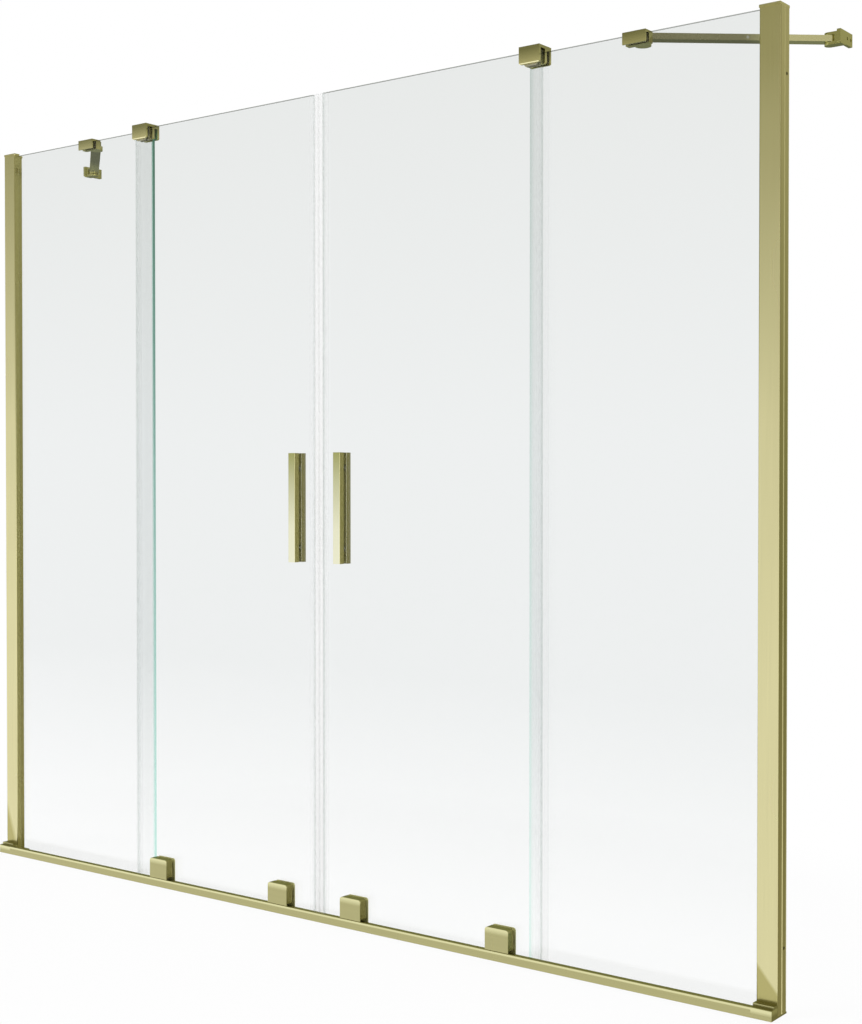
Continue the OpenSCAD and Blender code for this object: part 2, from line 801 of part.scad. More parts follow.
module magnet_seal(side) {
    nose_x = closing_gap / 2;
    color(CLEAR) on_side(side) along_z(door_bottom, pane_top) difference() {
        area(nose_x, door_y - seal_t, door_inner_x + seal_leg, door_back + seal_t);
        area(door_inner_x, door_y, door_inner_x + seal_leg + past, door_back);
        area(nose_x + seal_t, door_y, door_inner_x - seal_t, door_back);
    }
}

module magnet_strip(side) {
    nose_x = closing_gap / 2;
    air = 0.2;
    color(MAGNET) on_side(side) along_z(door_bottom, pane_top)
        area(nose_x + seal_t + air, door_y + air, door_inner_x - seal_t - air, door_back - air);
}

module fin_seal(side) {
    tip_y = fixed_y - fin_gap;
    foot_y = door_back + seal_t;
    color(CLEAR) on_side(side) along_z(door_bottom, fin_top) {
        difference() {
            area(door_outer_x - seal_leg, door_y - seal_t, door_outer_x + seal_t, foot_y);
            area(door_outer_x - seal_leg - past, door_y, door_outer_x, door_back);
        }
        polygon([
            [door_outer_x + seal_t - 2 * fin_t, foot_y - seal_t / 2],
            [door_outer_x + seal_t, foot_y - seal_t / 2],
            [fin_x, tip_y],
            [fin_x - fin_t, tip_y]
        ]);
    }
}

module handle_bar(side, y0, stud_y0, stud_y1) {
    color(BRASS) on_side(side) difference() {
        along_z(handle_z - handle_l / 2, handle_z + handle_l / 2)
            area_round_all(handle_x - handle_w / 2, y0, handle_x + handle_w / 2, y0 + handle_t, handle_round);
        handle_stud_places() rod_y(0, 0, stud_y0, stud_y1, stud_r + fit);
    }
}

// The stud holes are drilled from the face that meets the glass
module handle_outer(side) {
    face = door_y - washer_t;
    handle_bar(side, face - handle_t, face - stud_bite - fit, face + past);
}

module handle_inner(side) {
    face = door_back + washer_t;
    handle_bar(side, face, face - past, face + stud_bite + fit);
}

module handle_studs(side) {
    color(STEEL) on_side(side) handle_stud_places() {
        rod_y(0, 0, door_y - washer_t - stud_bite, door_back + washer_t + stud_bite, stud_r);
        for (y = [door_y - washer_t, door_back]) difference() {
            rod_y(0, 0, y, y + washer_t, washer_r);
            rod_y(0, 0, y - past, y + washer_t + past, stud_r + fit);
        }
    }
}

// The carriage's front outline: square feet and round top corners
module carriage_outline(z0, z1) {
    mirror([0, 1]) area_round_low(-carriage_w / 2, -z1, carriage_w / 2, -z0, carriage_round);
}

module carriage(side, cx) {
    pocket_front = track_y - roller_w / 2 - pocket_gap / 2;
    pocket_half = roller_r + pocket_gap;
    half = carriage_w / 2;
    color(BRASS) on_side(side) translate([cx, 0, 0]) difference() {
        along_y(0, door_y) carriage_outline(body_bottom, carriage_top);
        // Pocket for the roller, open below and towards the glass
        along_y(pocket_front, door_y + past)
            area(-pocket_half, body_bottom - past, pocket_half, axle_z + pocket_half);
        rod_y(0, axle_z, axle_front - fit, pocket_front + past, axle_r + fit);
        for (dx = [-1, 1])
            rod_y(dx * carriage_screw_pitch / 2, carriage_screw_z, screw_front - fit, door_y + past,
                carriage_screw_r + fit);
        // Notches that show under the side walls
        for (x0 = [-half - past, pocket_half]) along_y(skin_t, door_y + past)
            area(x0, body_bottom - past, x0 + half - pocket_half + past, body_bottom + notch_h);
    }
}

module carriage_plates(side) {
    color(BRASS_DARK) on_side(side) difference() {
        for (cx = [carriage_inner_x, carriage_outer_x]) translate([cx, 0, 0])
            along_y(door_back, door_back + plate_t) carriage_outline(door_bottom, carriage_top);
        carriage_screw_places()
            rod_y(0, 0, door_back - past, door_back + plate_t + past, carriage_screw_r + fit);
    }
}

module carriage_screws(side) {
    head_h = 2;
    head_rim = 2;
    face = door_back + plate_t;
    color(STEEL) on_side(side) carriage_screw_places() {
        rod_y(0, 0, screw_front, face + head_h, carriage_screw_r);
        rod_y(0, 0, face, face + head_h, carriage_screw_r + head_rim);
    }
}

module roller_axles(side) {
    ring_t = 0.4;
    ring_rim = 1.5;
    color(STEEL) on_side(side) for (cx = [carriage_inner_x, carriage_outer_x]) {
        rod_y(cx, axle_z, axle_front, axle_back + ring_t, axle_r);
        rod_y(cx, axle_z, axle_back, axle_back + ring_t, axle_r + ring_rim);
    }
}

// A grooved wheel that runs on the bead
module roller(side, cx) {
    groove_r = bead_r + roller_gap;
    color(NYLON) on_side(side) translate([cx, track_y, axle_z]) rotate([90, 0, 0]) rotate_extrude()
        difference() {
            area(axle_r + fit, -roller_w / 2, roller_r, roller_w / 2);
            translate([axle_z - bead_z, 0]) circle(r = groove_r);
        }
}

wall_channel(LEFT);  // wall_channel_left
wall_channel(RIGHT);  // wall_channel_right
pane_profile(LEFT);  // pane_profile_left
pane_profile(RIGHT);  // pane_profile_right
profile_cap(LEFT);  // profile_cap_left
profile_cap(RIGHT);  // profile_cap_right
pane_gasket(LEFT);  // pane_gasket_left
pane_gasket(RIGHT);  // pane_gasket_right
profile_screws();
profile_covers();
bottom_rail();
rail_end(LEFT);  // rail_end_left
rail_end(RIGHT);  // rail_end_right
fixed_pane(LEFT);  // fixed_pane_left
fixed_pane(RIGHT);  // fixed_pane_right
pane_beds();
door_stops();
guide_block(LEFT);  // guide_block_left
guide_block(RIGHT);  // guide_block_right
guide_insert(LEFT);  // guide_insert_left
guide_insert(RIGHT);  // guide_insert_right
grub_screws();
glass_clamp(LEFT);  // glass_clamp_left
glass_clamp(RIGHT);  // glass_clamp_right
glass_pads();
support_bar(LEFT);  // support_bar_left
support_bar(RIGHT);  // support_bar_right
wall_bracket(LEFT);  // wall_bracket_left
wall_bracket(RIGHT);  // wall_bracket_right
bar_pivot_screws();
bar_lock_screws();
door_pane(LEFT);  // left_door_pane
magnet_seal(LEFT);  // left_magnet_seal
magnet_strip(LEFT);  // left_magnet_strip
fin_seal(LEFT);  // left_fin_seal
handle_outer(LEFT);  // left_handle_outer
handle_inner(LEFT);  // left_handle_inner
handle_studs(LEFT);  // left_handle_studs
carriage(LEFT, carriage_outer_x);  // left_carriage_outer
carriage(LEFT, carriage_inner_x);  // left_carriage_inner
carriage_plates(LEFT);  // left_carriage_plates
carriage_screws(LEFT);  // left_carriage_screws
roller_axles(LEFT);  // left_roller_axles
door_pane(RIGHT);  // right_door_pane
magnet_seal(RIGHT);  // right_magnet_seal
magnet_strip(RIGHT);  // right_magnet_strip
fin_seal(RIGHT);  // right_fin_seal
handle_outer(RIGHT);  // right_handle_outer
handle_inner(RIGHT);  // right_handle_inner
handle_studs(RIGHT);  // right_handle_studs
carriage(RIGHT, carriage_outer_x);  // right_carriage_outer
carriage(RIGHT, carriage_inner_x);  // right_carriage_inner
carriage_plates(RIGHT);  // right_carriage_plates
carriage_screws(RIGHT);  // right_carriage_screws
roller_axles(RIGHT);  // right_roller_axles
roller(LEFT, carriage_outer_x);  // roller_left_outer
roller(LEFT, carriage_inner_x);  // roller_left_inner
roller(RIGHT, carriage_inner_x);  // roller_right_inner
roller(RIGHT, carriage_outer_x);  // roller_right_outer
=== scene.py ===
import math

import bpy
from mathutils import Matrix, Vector


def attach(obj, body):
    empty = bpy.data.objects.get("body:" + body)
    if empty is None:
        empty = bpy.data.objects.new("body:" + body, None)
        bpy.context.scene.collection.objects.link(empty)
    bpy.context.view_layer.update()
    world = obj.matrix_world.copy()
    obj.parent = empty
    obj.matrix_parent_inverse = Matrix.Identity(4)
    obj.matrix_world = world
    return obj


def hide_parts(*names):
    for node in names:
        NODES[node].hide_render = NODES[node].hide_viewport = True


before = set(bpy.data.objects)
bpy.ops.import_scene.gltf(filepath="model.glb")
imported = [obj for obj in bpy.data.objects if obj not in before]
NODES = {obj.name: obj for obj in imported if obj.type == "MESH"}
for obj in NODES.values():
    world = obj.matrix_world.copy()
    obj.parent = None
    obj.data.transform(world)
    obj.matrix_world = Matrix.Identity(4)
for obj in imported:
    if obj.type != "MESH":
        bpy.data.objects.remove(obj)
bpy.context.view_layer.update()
SIDES = ("left", "right")

# Colours are linear light. Lengths are metres, and heights are above the rail's underside.

# Brass: BRASS is the metal's own colour; the other tones are darker and lighter copies of it, painted shade
# and highlight
BRASS = (0.70, 0.655, 0.36)
BRASS_DARK = (0.50, 0.46, 0.23)
BRASS_RAIL_SHADED = (0.45, 0.425, 0.205)
BRASS_RAIL_HIGHLIGHT = (0.74, 0.715, 0.40)
BRASS_PLATE_LIT = (0.66, 0.63, 0.27)
BRASS_CHANNEL_LIT = (0.66, 0.61, 0.33)
BRASS_FOOT_REFLECTION = (0.465, 0.425, 0.17)
BRASS_FITTING = (0.42, 0.405, 0.21)
BRASS_FITTING_HIGHLIGHT = (0.95, 0.89, 0.52)
BRASS_BAR = (0.78, 0.74, 0.44)
BRASS_BAR_SHADE = (0.36, 0.34, 0.23)
BRASS_BRACKET = (0.54, 0.52, 0.22)
BRASS_HANDLE_INNER_SHADED = (0.58, 0.55, 0.39)
BRASS_HANDLE_HIGH = (0.39, 0.395, 0.145)
BRASS_HANDLE_LOW = (0.868, 0.86, 0.64)

# Glass, LOW near the floor and HIGH near the top: the glass's own tints, darkened towards the top as painted
# shade.
# A rim is the strip of face along a fixed pane's free edge.
GLASS_LOW = (0.995, 0.999, 0.998)
GLASS_HIGH = (0.930, 0.940, 0.939)
EDGE_LOW = (0.50, 0.98, 0.86)
EDGE_HIGH = (0.085, 0.26, 0.185)
EDGE_THROUGH = (0.70, 0.96, 0.90)
EDGE_WITHIN_LOW = (0.82, 0.955, 0.91)
EDGE_WITHIN_HIGH = (0.80, 0.84, 0.83)
EDGE_SEALED = (0.86, 0.885, 0.88)
EDGE_TOP = (0.46, 0.47, 0.46)
RIM_LEFT_LOW = (0.86, 0.98, 0.95)
RIM_LEFT_HIGH = (0.36, 0.60, 0.52)
RIM_RIGHT_LOW = (0.95, 0.99, 0.98)
RIM_RIGHT_HIGH = (0.84, 0.88, 0.87)

# Everything else
STEEL = (0.62, 0.62, 0.60)
VINYL = (0.90, 0.92, 0.92)
MAGNET_WHITE = (0.90, 0.90, 0.89)
NYLON_GREY = (0.40, 0.385, 0.26)
RUBBER_BLACK = (0.035, 0.035, 0.034)
PAD_BROWN = (0.16, 0.15, 0.10)
FLOOR_WHITE = (0.93, 0.93, 0.93)
WHITE = (1.0, 1.0, 1.0)


# Shader helpers
def set_inputs(tree, node, **values):
    """Set inputs to numbers, vectors or colours, or link them to another node's output."""
    for name, value in values.items():
        socket = node.inputs[name.replace("_", " ")]
        if isinstance(value, bpy.types.NodeSocket):
            tree.links.new(value, socket)
        elif socket.type == "RGBA":
            socket.default_value = (*value, 1.0)
        else:
            socket.default_value = value


def add(tree, kind, **values):
    """A node of that kind with some of its inputs set."""
    node = tree.nodes.new(kind)
    set_inputs(tree, node, **values)
    return node


def calculate(tree, operation, *operands):
    """One step of arithmetic on numbers or other nodes' outputs."""
    node = tree.nodes.new("ShaderNodeMath")
    node.operation = operation
    for socket, operand in zip(node.inputs, operands):
        if isinstance(operand, float):
            socket.default_value = operand
        else:
            tree.links.new(operand, socket)
    return node.outputs["Value"]


def ramp(tree, source, low, high, start=0.3, end=0.7):
    """From low at start to high at end of the source, as a value or as a colour."""
    if not isinstance(low, tuple):
        span = add(tree, "ShaderNodeMapRange", Value=source, From_Min=start, From_Max=end,
                   To_Min=low, To_Max=high)
        return span.outputs["Result"]
    node = add(tree, "ShaderNodeValToRGB", Fac=source)
    for element, place, colour in zip(node.color_ramp.elements, (start, end), (low, high)):
        element.position = place
        element.color = (*colour, 1.0)
    return node.outputs["Color"]


def ramp_stops(tree, source, stops):
    """A value that passes through each (source, value) pair in stops, in straight lines."""
    first, last = stops[0][0], stops[-1][0]
    node = add(tree, "ShaderNodeValToRGB", Fac=ramp(tree, source, 0.0, 1.0, first, last))
    elements = node.color_ramp.elements
    while len(elements) < len(stops):
        elements.new(0.5)
    for element, (place, value) in zip(elements, stops):
        element.position = (place - first) / (last - first)
        element.color = (value, value, value, 1.0)
    return node.outputs["Color"]


# The mix node's two colour inputs and its colour output, by number because its other kinds share their names
MIX_FIRST = 6
MIX_SECOND = 7
MIX_RESULT = 2


def mix_colours(tree, share, first, second):
    """The first colour, with that share of the second."""
    mix = tree.nodes.new("ShaderNodeMix")
    mix.data_type = "RGBA"
    set_inputs(tree, mix, Factor=share)
    for number, colour in ((MIX_FIRST, first), (MIX_SECOND, second)):
        if isinstance(colour, tuple):
            mix.inputs[number].default_value = (*colour, 1.0)
        else:
            tree.links.new(colour, mix.inputs[number])
    return mix.outputs[MIX_RESULT]


def mix_surfaces(tree, share, first, second):
    """The first surface, with that share of the second."""
    mix = add(tree, "ShaderNodeMixShader", Fac=share)
    tree.links.new(first, mix.inputs[1])
    tree.links.new(second, mix.inputs[2])
    return mix.outputs["Shader"]


def clear_surface(tree, colour):
    return add(tree, "ShaderNodeBsdfTransparent", Color=colour).outputs["BSDF"]


def stretched_noise(tree, scale, detail=3.0):
    """Noise in the part's own metres, with its own scale on each axis."""
    place = add(tree, "ShaderNodeTexCoord").outputs["Object"]
    stretched = add(tree, "ShaderNodeMapping", Vector=place, Scale=scale).outputs["Vector"]
    return add(tree, "ShaderNodeTexNoise", Vector=stretched, Scale=1.0, Detail=detail).outputs["Fac"]


def shade(colour, factor):
    return tuple(channel * factor for channel in colour)


# Places on the part. A face is all front where its normal's Y is below the first value, and not at all above
# the second.
FRONT_NORMALS = (-0.9, -0.7)


def texture_axis(tree, coordinates, axis):
    """One axis of a piece's own metres (Object), of its normals (Normal) or of a direction (Generated)."""
    place = add(tree, "ShaderNodeTexCoord").outputs[coordinates]
    return add(tree, "ShaderNodeSeparateXYZ", Vector=place).outputs[axis]


def part_height(tree):
    return texture_axis(tree, "Object", "Z")


def part_distance(tree):
    """Distance from the part's middle plane, to either side."""
    return calculate(tree, "ABSOLUTE", texture_axis(tree, "Object", "X"))


def part_front(tree):
    """1 on faces that look to the front of the part, 0 on its sides and back."""
    return ramp(tree, texture_axis(tree, "Normal", "Y"), 1.0, 0.0, *FRONT_NORMALS)


# Shares of a second colour. Each is a function of the tree, because every material has its own nodes.
def by_height(*stops):
    """A share that follows pairs of height and share."""
    return lambda tree: ramp_stops(tree, part_height(tree), stops)


def by_distance(*stops):
    """A share that follows pairs of distance from the part's middle plane and share."""
    return lambda tree: ramp_stops(tree, part_distance(tree), stops)


# The depth over which a carriage's front skin ends, just behind its front face
CARRIAGE_SKIN = (-0.0245, -0.0235)


def on_skin(share_of):
    """The same share, kept to the front skin of a carriage."""
    def front_share(tree):
        skin = ramp(tree, texture_axis(tree, "Object", "Y"), 1.0, 0.0, *CARRIAGE_SKIN)
        return calculate(tree, "MULTIPLY", skin, share_of(tree))
    return front_share


def foot_reflection_share(left_x, top, slope, blur):
    """All below a slanting line on a profile's foot, a painted reflection of the rail in it. The line starts
    at the height top on the profile's left side, at left_x, falls by slope and is blurred by blur either way."""
    def share_of(tree):
        slant = calculate(tree, "MULTIPLY_ADD", texture_axis(tree, "Object", "X"), slope, part_height(tree))
        line = top + slope * left_x
        return ramp(tree, slant, 1.0, 0.0, line - blur, line + blur)
    return share_of


# Painted light: rail, rail ends and carriages have a painted highlight near their top edge, and fittings near
# their foot. A channel has painted shade at mid height, a support bar near its clamp, a handle towards its
# top, and a profile's foot where it mirrors the rail.
RAIL_HIGHLIGHT = by_height((0.0115, 0.0), (0.0130, 1.0), (0.0158, 1.0), (0.0164, 0.0))
RAIL_END_HIGHLIGHT = by_height((0.0065, 0.0), (0.0120, 1.0), (0.0158, 1.0), (0.0164, 0.0))
CARRIAGE_HIGHLIGHT = on_skin(by_height((0.044, 0.0), (0.0525, 1.0), (0.0543, 1.0), (0.0549, 0.0)))
CHANNEL_LIGHT_AND_SHADE = by_height((0.1, 1.0), (0.6, 0.15), (1.4, 1.0))
LEFT_FOOT_REFLECTION = foot_reflection_share(-0.900, 0.100, 2.6, 0.016)
RIGHT_FOOT_REFLECTION = foot_reflection_share(0.866, 0.077, 1.2, 0.004)
FITTING_HIGHLIGHT = by_height((1.480, 1.0), (1.490, 0.5), (1.502, 0.0))
BAR_SHADE = by_distance((0.775, 1.0), (0.815, 0.0))
HANDLE_REFLECTION = by_height((0.655, 1.0), (0.711, 0.95), (0.757, 0.68), (0.804, 0.37), (0.850, 0.0))


def handle_front_reflection(tree):
    """The colour of a handle's front face, with a painted reflection that is darkest at its top."""
    return mix_colours(tree, HANDLE_REFLECTION(tree), BRASS_HANDLE_HIGH, BRASS_HANDLE_LOW)


# Materials, kept by name
MATERIALS = {}

# Noise scales on each axis: high across fine lines and low along them
LINES_UP = (1400.0, 1400.0, 7.0)
LINES_ALONG = (7.0, 1400.0, 1400.0)
LINES_ROUND = (500.0, 500.0, 500.0)
METAL_CLOUDS = (9.0, 9.0, 5.0)
GLASS_FILM = (6.0, 6.0, 4.0)
GROUND_EDGE = (900.0, 900.0, 60.0)
DRAWN_VINYL = (400.0, 400.0, 3.0)

# How far a surface strays from its own tone and roughness, and how strongly its grain shows as relief
METAL_TONES = (0.965, 1.03)
METAL_SPREAD = (-0.03, 0.05)
METAL_RELIEF = 0.06
PLAIN_TONES = (0.92, 1.06)
PLAIN_SPREAD = (-0.06, 0.06)
PLAIN_RELIEF = 0.15
CLEAR_RELIEF = 0.1
RELIEF_HEIGHT = 0.0002
VINYL_ROUGHNESS = (0.15, 0.28)
VINYL_ALPHA = (0.04, 0.07)


def new_material(name):
    """A material kept under that name. Returns its nodes."""
    material = bpy.data.materials.new(name)
    material.use_nodes = True
    MATERIALS[name] = material
    return material.node_tree


def principled(tree):
    return tree.nodes["Principled BSDF"]


def set_surface(tree, surface):
    set_inputs(tree, tree.nodes["Material Output"], Surface=surface)


def grained_colour(tree, noise, colour, tones):
    return ramp(tree, noise, shade(colour, tones[0]), shade(colour, tones[1]))


def grained_roughness(tree, noise, roughness, spread):
    return ramp(tree, noise, roughness + spread[0], roughness + spread[1])


def add_relief(tree, noise, strength):
    bump = add(tree, "ShaderNodeBump", Height=noise, Strength=strength, Distance=RELIEF_HEIGHT)
    set_inputs(tree, principled(tree), Normal=bump.outputs["Normal"])


def brushed_metal(name, colour, grain, roughness=0.24, share_of=None, second=BRASS_RAIL_HIGHLIGHT):
    """Satin metal with fine lines. share_of gives the share of the second colour at each place, and
    second is a colour or a function of the tree."""
    tree = new_material(name)
    lines = stretched_noise(tree, grain, detail=4.0)
    clouds = stretched_noise(tree, METAL_CLOUDS, detail=2.0)
    tone = grained_colour(tree, lines, colour, METAL_TONES)
    if share_of:
        tone = mix_colours(tree, share_of(tree), tone, second(tree) if callable(second) else second)
    set_inputs(tree, principled(tree), Base_Color=tone, Metallic=1.0,
               Roughness=grained_roughness(tree, clouds, roughness, METAL_SPREAD))
    add_relief(tree, lines, METAL_RELIEF)


def plain_surface(name, colour, roughness, grain, alpha=1.0):
    """A surface of one colour with a fine grit, of the same scale on each axis."""
    tree = new_material(name)
    grit = stretched_noise(tree, (grain, grain, grain))
    set_inputs(tree, principled(tree), Alpha=alpha,
               Base_Color=grained_colour(tree, grit, colour, PLAIN_TONES),
               Roughness=grained_roughness(tree, grit, roughness, PLAIN_SPREAD))
    add_relief(tree, grit, PLAIN_RELIEF)


def clear_vinyl(name):
    """Soft clear plastic, which shows mainly along its edges."""
    tree = new_material(name)
    pull = stretched_noise(tree, DRAWN_VINYL)
    set_inputs(tree, principled(tree), Base_Color=VINYL,
               Roughness=ramp(tree, pull, *VINYL_ROUGHNESS), Alpha=ramp(tree, pull, *VINYL_ALPHA))
    add_relief(tree, pull, CLEAR_RELIEF)


# Glass: the share of light that it mirrors, and the heights over which its faces and edges change tint as
# painted shade. The free edge lets most light through at its foot, and none from a share of its height up, as
# painted light.
# A rim is strong over its core and fades out over its width.
MIRROR_LEAST = 0.045
MIRROR_POWER = 5.0
FILM_ROUGHNESS = (0.0, 0.02)
FACE_FADE = (0.08, 0.46)
EDGE_FADE = (0.1, 1.45)
EDGE_ROUGHNESS = (0.18, 0.30)
EDGE_SPECULAR = 0.2
EDGE_SOLID_LEAST = 0.25
EDGE_SOLID_FROM = 0.7
FREE_EDGE_X = 0.45
RIM_CORE = 0.0025
RIM_WIDTH = 0.0045
RIM_STOPS = ((FREE_EDGE_X, 1.0), (FREE_EDGE_X + RIM_CORE, 0.9), (FREE_EDGE_X + RIM_WIDTH, 0.0))


def mirror_share(tree):
    """How much of the light a pane's face mirrors: little when seen straight on, all at a grazing angle."""
    facing = add(tree, "ShaderNodeLayerWeight", Blend=0.5).outputs["Facing"]
    return ramp(tree, calculate(tree, "POWER", facing, MIRROR_POWER), MIRROR_LEAST, 1.0, 0.0, 1.0)


def see_through(name, tint_of):
    """Thin clear glass: see-through with a mirror film. tint_of gives what the glass lets through."""
    tree = new_material(name)
    tree.nodes.remove(principled(tree))
    clear = clear_surface(tree, tint_of(tree))
    film = stretched_noise(tree, GLASS_FILM, detail=2.0)
    mirror = add(tree, "ShaderNodeBsdfGlossy", Roughness=ramp(tree, film, *FILM_ROUGHNESS))
    set_surface(tree, mix_surfaces(tree, mirror_share(tree), clear, mirror.outputs["BSDF"]))


def face_tint_and_shade(tree):
    """What a face lets through: the glass's faint tint, darkened towards the top as painted shade."""
    return ramp(tree, part_height(tree), GLASS_LOW, GLASS_HIGH, *FACE_FADE)


def edge_height(tree):
    """0 at the foot of a pane and 1 near its top."""
    return ramp(tree, part_height(tree), 0.0, 1.0, *EDGE_FADE)


def edge_tint_and_shade(tree, low, high):
    """A colour that goes from low at the foot of a pane to high near its top, as painted light."""
    return ramp(tree, edge_height(tree), low, high, 0.0, 1.0)


def rimmed_tint_and_shade(low, high):
    """The face's tint, with another within a few millimetres of the fixed pane's free edge; both darken
    towards the top as painted shade.
    """
    def tint_of(tree):
        near_edge = ramp_stops(tree, part_distance(tree), RIM_STOPS)
        return mix_colours(tree, near_edge, face_tint_and_shade(tree), edge_tint_and_shade(tree, low, high))
    return tint_of


def free_edge(name):
    """Ground glass edge, green from outside and nearly clear from within, with painted light that makes it
    lighter towards the floor.
    """
    tree = new_material(name)
    shader = principled(tree)
    grind = stretched_noise(tree, GROUND_EDGE)
    set_inputs(tree, shader, Base_Color=edge_tint_and_shade(tree, EDGE_LOW, EDGE_HIGH),
               Specular_IOR_Level=EDGE_SPECULAR, Roughness=ramp(tree, grind, *EDGE_ROUGHNESS))
    add_relief(tree, grind, CLEAR_RELIEF)
    solid = ramp(tree, edge_height(tree), EDGE_SOLID_LEAST, 1.0, 0.0, EDGE_SOLID_FROM)
    outside = mix_surfaces(tree, solid, clear_surface(tree, EDGE_THROUGH), shader.outputs["BSDF"])
    within = clear_surface(tree, edge_tint_and_shade(tree, EDGE_WITHIN_LOW, EDGE_WITHIN_HIGH))
    from_within = add(tree, "ShaderNodeNewGeometry").outputs["Backfacing"]
    set_surface(tree, mix_surfaces(tree, from_within, outside, within))


def make_materials():
    # Handles: a painted reflection on the front face, darkening towards the top
    brushed_metal("handle brass", BRASS, LINES_UP, share_of=part_front, second=handle_front_reflection)
    # Inner handles: brass darkened as painted shade
    brushed_metal("shaded inner handle brass", BRASS_HANDLE_INNER_SHADED, LINES_UP)
    # Profiles: a painted reflection of the rail darkens each foot
    brushed_metal("left profile brass", BRASS, LINES_UP, share_of=LEFT_FOOT_REFLECTION, second=BRASS_FOOT_REFLECTION)
    brushed_metal("right profile brass", BRASS, LINES_UP, share_of=RIGHT_FOOT_REFLECTION, second=BRASS_FOOT_REFLECTION)
    # Rail, rail ends and carriages: brass darkened as painted shade, with a painted highlight near the top
    # edge
    brushed_metal("rail brass", BRASS_RAIL_SHADED, LINES_ALONG, share_of=RAIL_HIGHLIGHT)
    brushed_metal("rail end brass", BRASS_RAIL_SHADED, LINES_ALONG, share_of=RAIL_END_HIGHLIGHT)
    brushed_metal("carriage brass", BRASS_RAIL_SHADED, LINES_ALONG, share_of=CARRIAGE_HIGHLIGHT)
    # Carriage plates: matte and lighter than the brass, painted light that lifts the shade behind the
    # carriage body
    plain_surface("plate brass", BRASS_PLATE_LIT, roughness=0.4, grain=900.0)
    # Channels: painted shade at mid height, lighter brass towards top and foot
    brushed_metal("channel brass", BRASS_DARK, LINES_UP, roughness=0.3, share_of=CHANNEL_LIGHT_AND_SHADE,
                  second=BRASS_CHANNEL_LIT)
    # Guide blocks and clamps: dark brass with a painted highlight towards the foot
    brushed_metal("fitting brass", BRASS_FITTING, LINES_ALONG, roughness=0.2, share_of=FITTING_HIGHLIGHT,
                  second=BRASS_FITTING_HIGHLIGHT)
    # Support bars: painted shade near the clamp, where they lie behind the pane
    brushed_metal("bar brass", BRASS_BAR, LINES_ROUND, share_of=BAR_SHADE, second=BRASS_BAR_SHADE)
    brushed_metal("bracket brass", BRASS_BRACKET, LINES_ROUND)
    brushed_metal("cast brass", BRASS, LINES_ROUND)
    brushed_metal("dark brass", BRASS_DARK, LINES_ROUND, roughness=0.3)
    brushed_metal("stainless steel", STEEL, LINES_ROUND, roughness=0.22)
    see_through("glass face", face_tint_and_shade)
    see_through("left glass face", rimmed_tint_and_shade(RIM_LEFT_LOW, RIM_LEFT_HIGH))
    see_through("right glass face", rimmed_tint_and_shade(RIM_RIGHT_LOW, RIM_RIGHT_HIGH))
    see_through("sealed glass edge", lambda tree: EDGE_SEALED)
    see_through("top glass edge", lambda tree: EDGE_TOP)
    free_edge("free glass edge")
    clear_vinyl("clear vinyl")
    plain_surface("magnet strip", MAGNET_WHITE, roughness=0.5, grain=700.0, alpha=0.1)
    plain_surface("nylon", NYLON_GREY, roughness=0.45, grain=900.0)
    plain_surface("rubber", RUBBER_BLACK, roughness=0.7, grain=600.0)
    plain_surface("glass pad", PAD_BROWN, roughness=0.7, grain=600.0)


# The nodes that have each finish, where SIDE stands for left and right
FINISHES = {
    "handle brass": ["SIDE_handle_outer"],
    "shaded inner handle brass": ["SIDE_handle_inner"],
    "left profile brass": ["pane_profile_left"],
    "right profile brass": ["pane_profile_right"],
    "rail brass": ["bottom_rail"],
    "rail end brass": ["rail_end_SIDE"],
    "carriage brass": ["SIDE_carriage_outer", "SIDE_carriage_inner"],
    "plate brass": ["SIDE_carriage_plates"],
    "channel brass": ["wall_channel_SIDE"],
    "fitting brass": ["guide_block_SIDE", "glass_clamp_SIDE"],
    "bar brass": ["support_bar_SIDE"],
    "bracket brass": ["wall_bracket_SIDE"],
    "cast brass": ["profile_cap_SIDE", "bar_pivot_screws"],
    "dark brass": ["profile_covers"],
    "stainless steel": ["profile_screws", "grub_screws", "bar_lock_screws", "SIDE_handle_studs",
                        "SIDE_carriage_screws", "SIDE_roller_axles"],
    "clear vinyl": ["pane_gasket_SIDE", "pane_beds", "SIDE_magnet_seal", "SIDE_fin_seal"],
    "magnet strip": ["SIDE_magnet_strip"],
    "nylon": ["guide_insert_SIDE", "roller_SIDE_outer", "roller_SIDE_inner"],
    "rubber": ["door_stops"],
    "glass pad": ["glass_pads"],
}


def nodes_named(patterns):
    """The nodes that the patterns name, with each side in place of SIDE."""
    names = [pattern.replace("SIDE", side) for pattern in patterns for side in SIDES]
    return [NODES[name] for name in dict.fromkeys(names)]


def finish_nodes():
    for finish, patterns in FINISHES.items():
        for node in nodes_named(patterns):
            node.data.materials.clear()
            node.data.materials.append(MATERIALS[finish])


# Small rounds on metal edges, which catch the light, by their width
EDGE_ROUNDS = {
    0.0011: ["profile_cap_SIDE"],
    0.0008: ["guide_block_SIDE", "SIDE_carriage_outer", "SIDE_carriage_inner", "SIDE_carriage_plates"],
    0.0006: ["pane_profile_SIDE", "rail_end_SIDE", "wall_bracket_SIDE", "glass_clamp_SIDE"],
    0.0004: ["bottom_rail", "wall_channel_SIDE"],
}
SHARP_ANGLE = math.radians(40)
WELD_DISTANCE = 0.00001


def round_edges(node, width):
    weld = node.modifiers.new("weld", "WELD")
    weld.merge_threshold = WELD_DISTANCE
    bevel = node.modifiers.new("edge rounds", "BEVEL")
    bevel.width = width
    bevel.segments = 2
    bevel.limit_method = "ANGLE"
    bevel.angle_limit = SHARP_ANGLE
    bevel.use_clamp_overlap = True
    bevel.harden_normals = True


def round_all_edges():
    for width, patterns in EDGE_ROUNDS.items():
        for node in nodes_named(patterns):
            round_edges(node, width)


